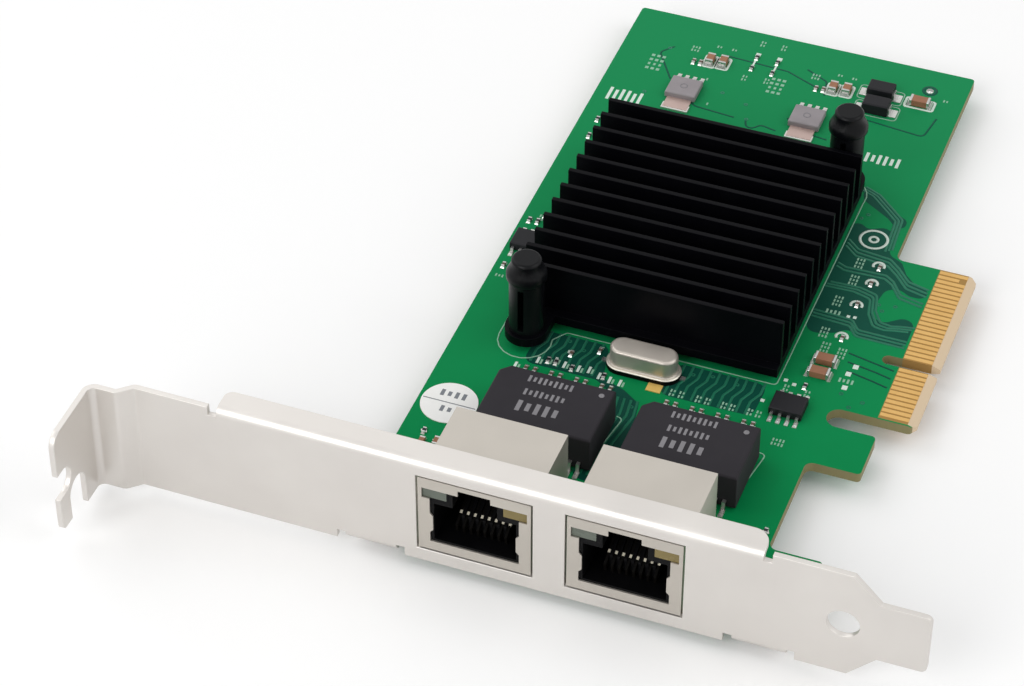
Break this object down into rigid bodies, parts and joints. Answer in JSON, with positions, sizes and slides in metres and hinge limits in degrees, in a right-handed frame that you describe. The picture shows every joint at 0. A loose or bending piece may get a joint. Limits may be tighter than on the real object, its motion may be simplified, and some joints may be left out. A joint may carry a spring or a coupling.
{
  "type": "network interface card",
  "caption": "Low-profile expansion card with a full-height slotted bracket, shielded modular ports, magnetics modules, a pinned fin heatsink and a gold card edge",
  "frame": {"origin": "where the centre line of the key notch meets the contact edge, on the component surface", "axes": "+X from the board's top edge to the contact edge, +Y along the card away from the bracket, +Z out of the component side"},
  "size_m": [0.12, 0.1418, 0.0203],
  "materials": {
    "solder_mask_laminate": "green solder mask over woven glass laminate, semi-gloss",
    "nickel_bracket": "nickel plated steel sheet, soft satin",
    "tinned_shield": "bright tinned copper alloy sheet",
    "gold_contact": "hard gold plating, smooth",
    "anodised_heatsink": "black anodised extrusion, matt",
    "moulded_housing": "black moulded polyester",
    "moulded_package": "black moulded epoxy with a fine matt grain",
    "tinned_lead": "tin plated copper alloy, satin",
    "crystal_can": "drawn nickel silver can, satin",
    "capacitor_ceramic": "tan ceramic with tinned ends",
    "resistor_ceramic": "dark glazed ceramic with tinned ends",
    "clear_lamp": "clear lens plastic",
    "tinted_lamp": "yellow tinted lens plastic",
    "black_nylon": "black nylon, slight sheen",
    "plated_screw": "zinc plated steel",
    "thermal_pad": "grey silicone pad",
    "paper_label": "white coated paper label"
  },
  "bodies": {
    "root": {"activity_lamps": "tinted_lamp", "bracket_nuts": "plated_screw", "bracket_screws": "plated_screw", "circuit_board": "solder_mask_laminate", "controller_chip": "moulded_package", "crystal_can": "crystal_can", "crystal_leads": "tinned_lead", "crystal_seat": "moulded_housing", "diode_bodies": "moulded_package", "diode_terminals": "tinned_lead", "edge_contacts_bottom": "gold_contact", "edge_contacts_top": "gold_contact", "heatsink": "anodised_heatsink", "jack_contacts_left": "gold_contact", "jack_contacts_right": "gold_contact", "jack_housing_left": "moulded_housing", "jack_housing_right": "moulded_housing", "jack_shield_left": "tinned_shield", "jack_shield_right": "tinned_shield", "lamp_leads": "tinned_lead", "large_capacitors": "capacitor_ceramic", "line_capacitors": "capacitor_ceramic", "link_lamps": "clear_lamp", "magnetics_body_left": "moulded_package", "magnetics_body_right": "moulded_package", "magnetics_leads_left": "tinned_lead", "magnetics_leads_right": "tinned_lead", "medium_capacitors": "capacitor_ceramic", "memory_chip": "moulded_package", "memory_leads": "tinned_lead", "mounting_bracket": "nickel_bracket", "pin_sleeves": "black_nylon", "push_pins": "black_nylon", "regulator_bodies": "moulded_package", "regulator_leads": "tinned_lead", "regulator_tabs": "tinned_lead", "small_capacitors": "capacitor_ceramic", "small_resistors": "resistor_ceramic", "supervisor_chip": "moulded_package", "supervisor_leads": "tinned_lead", "test_sticker": "paper_label", "thermal_pad": "thermal_pad", "wide_capacitors": "capacitor_ceramic"}
  },
  "joints": []
}
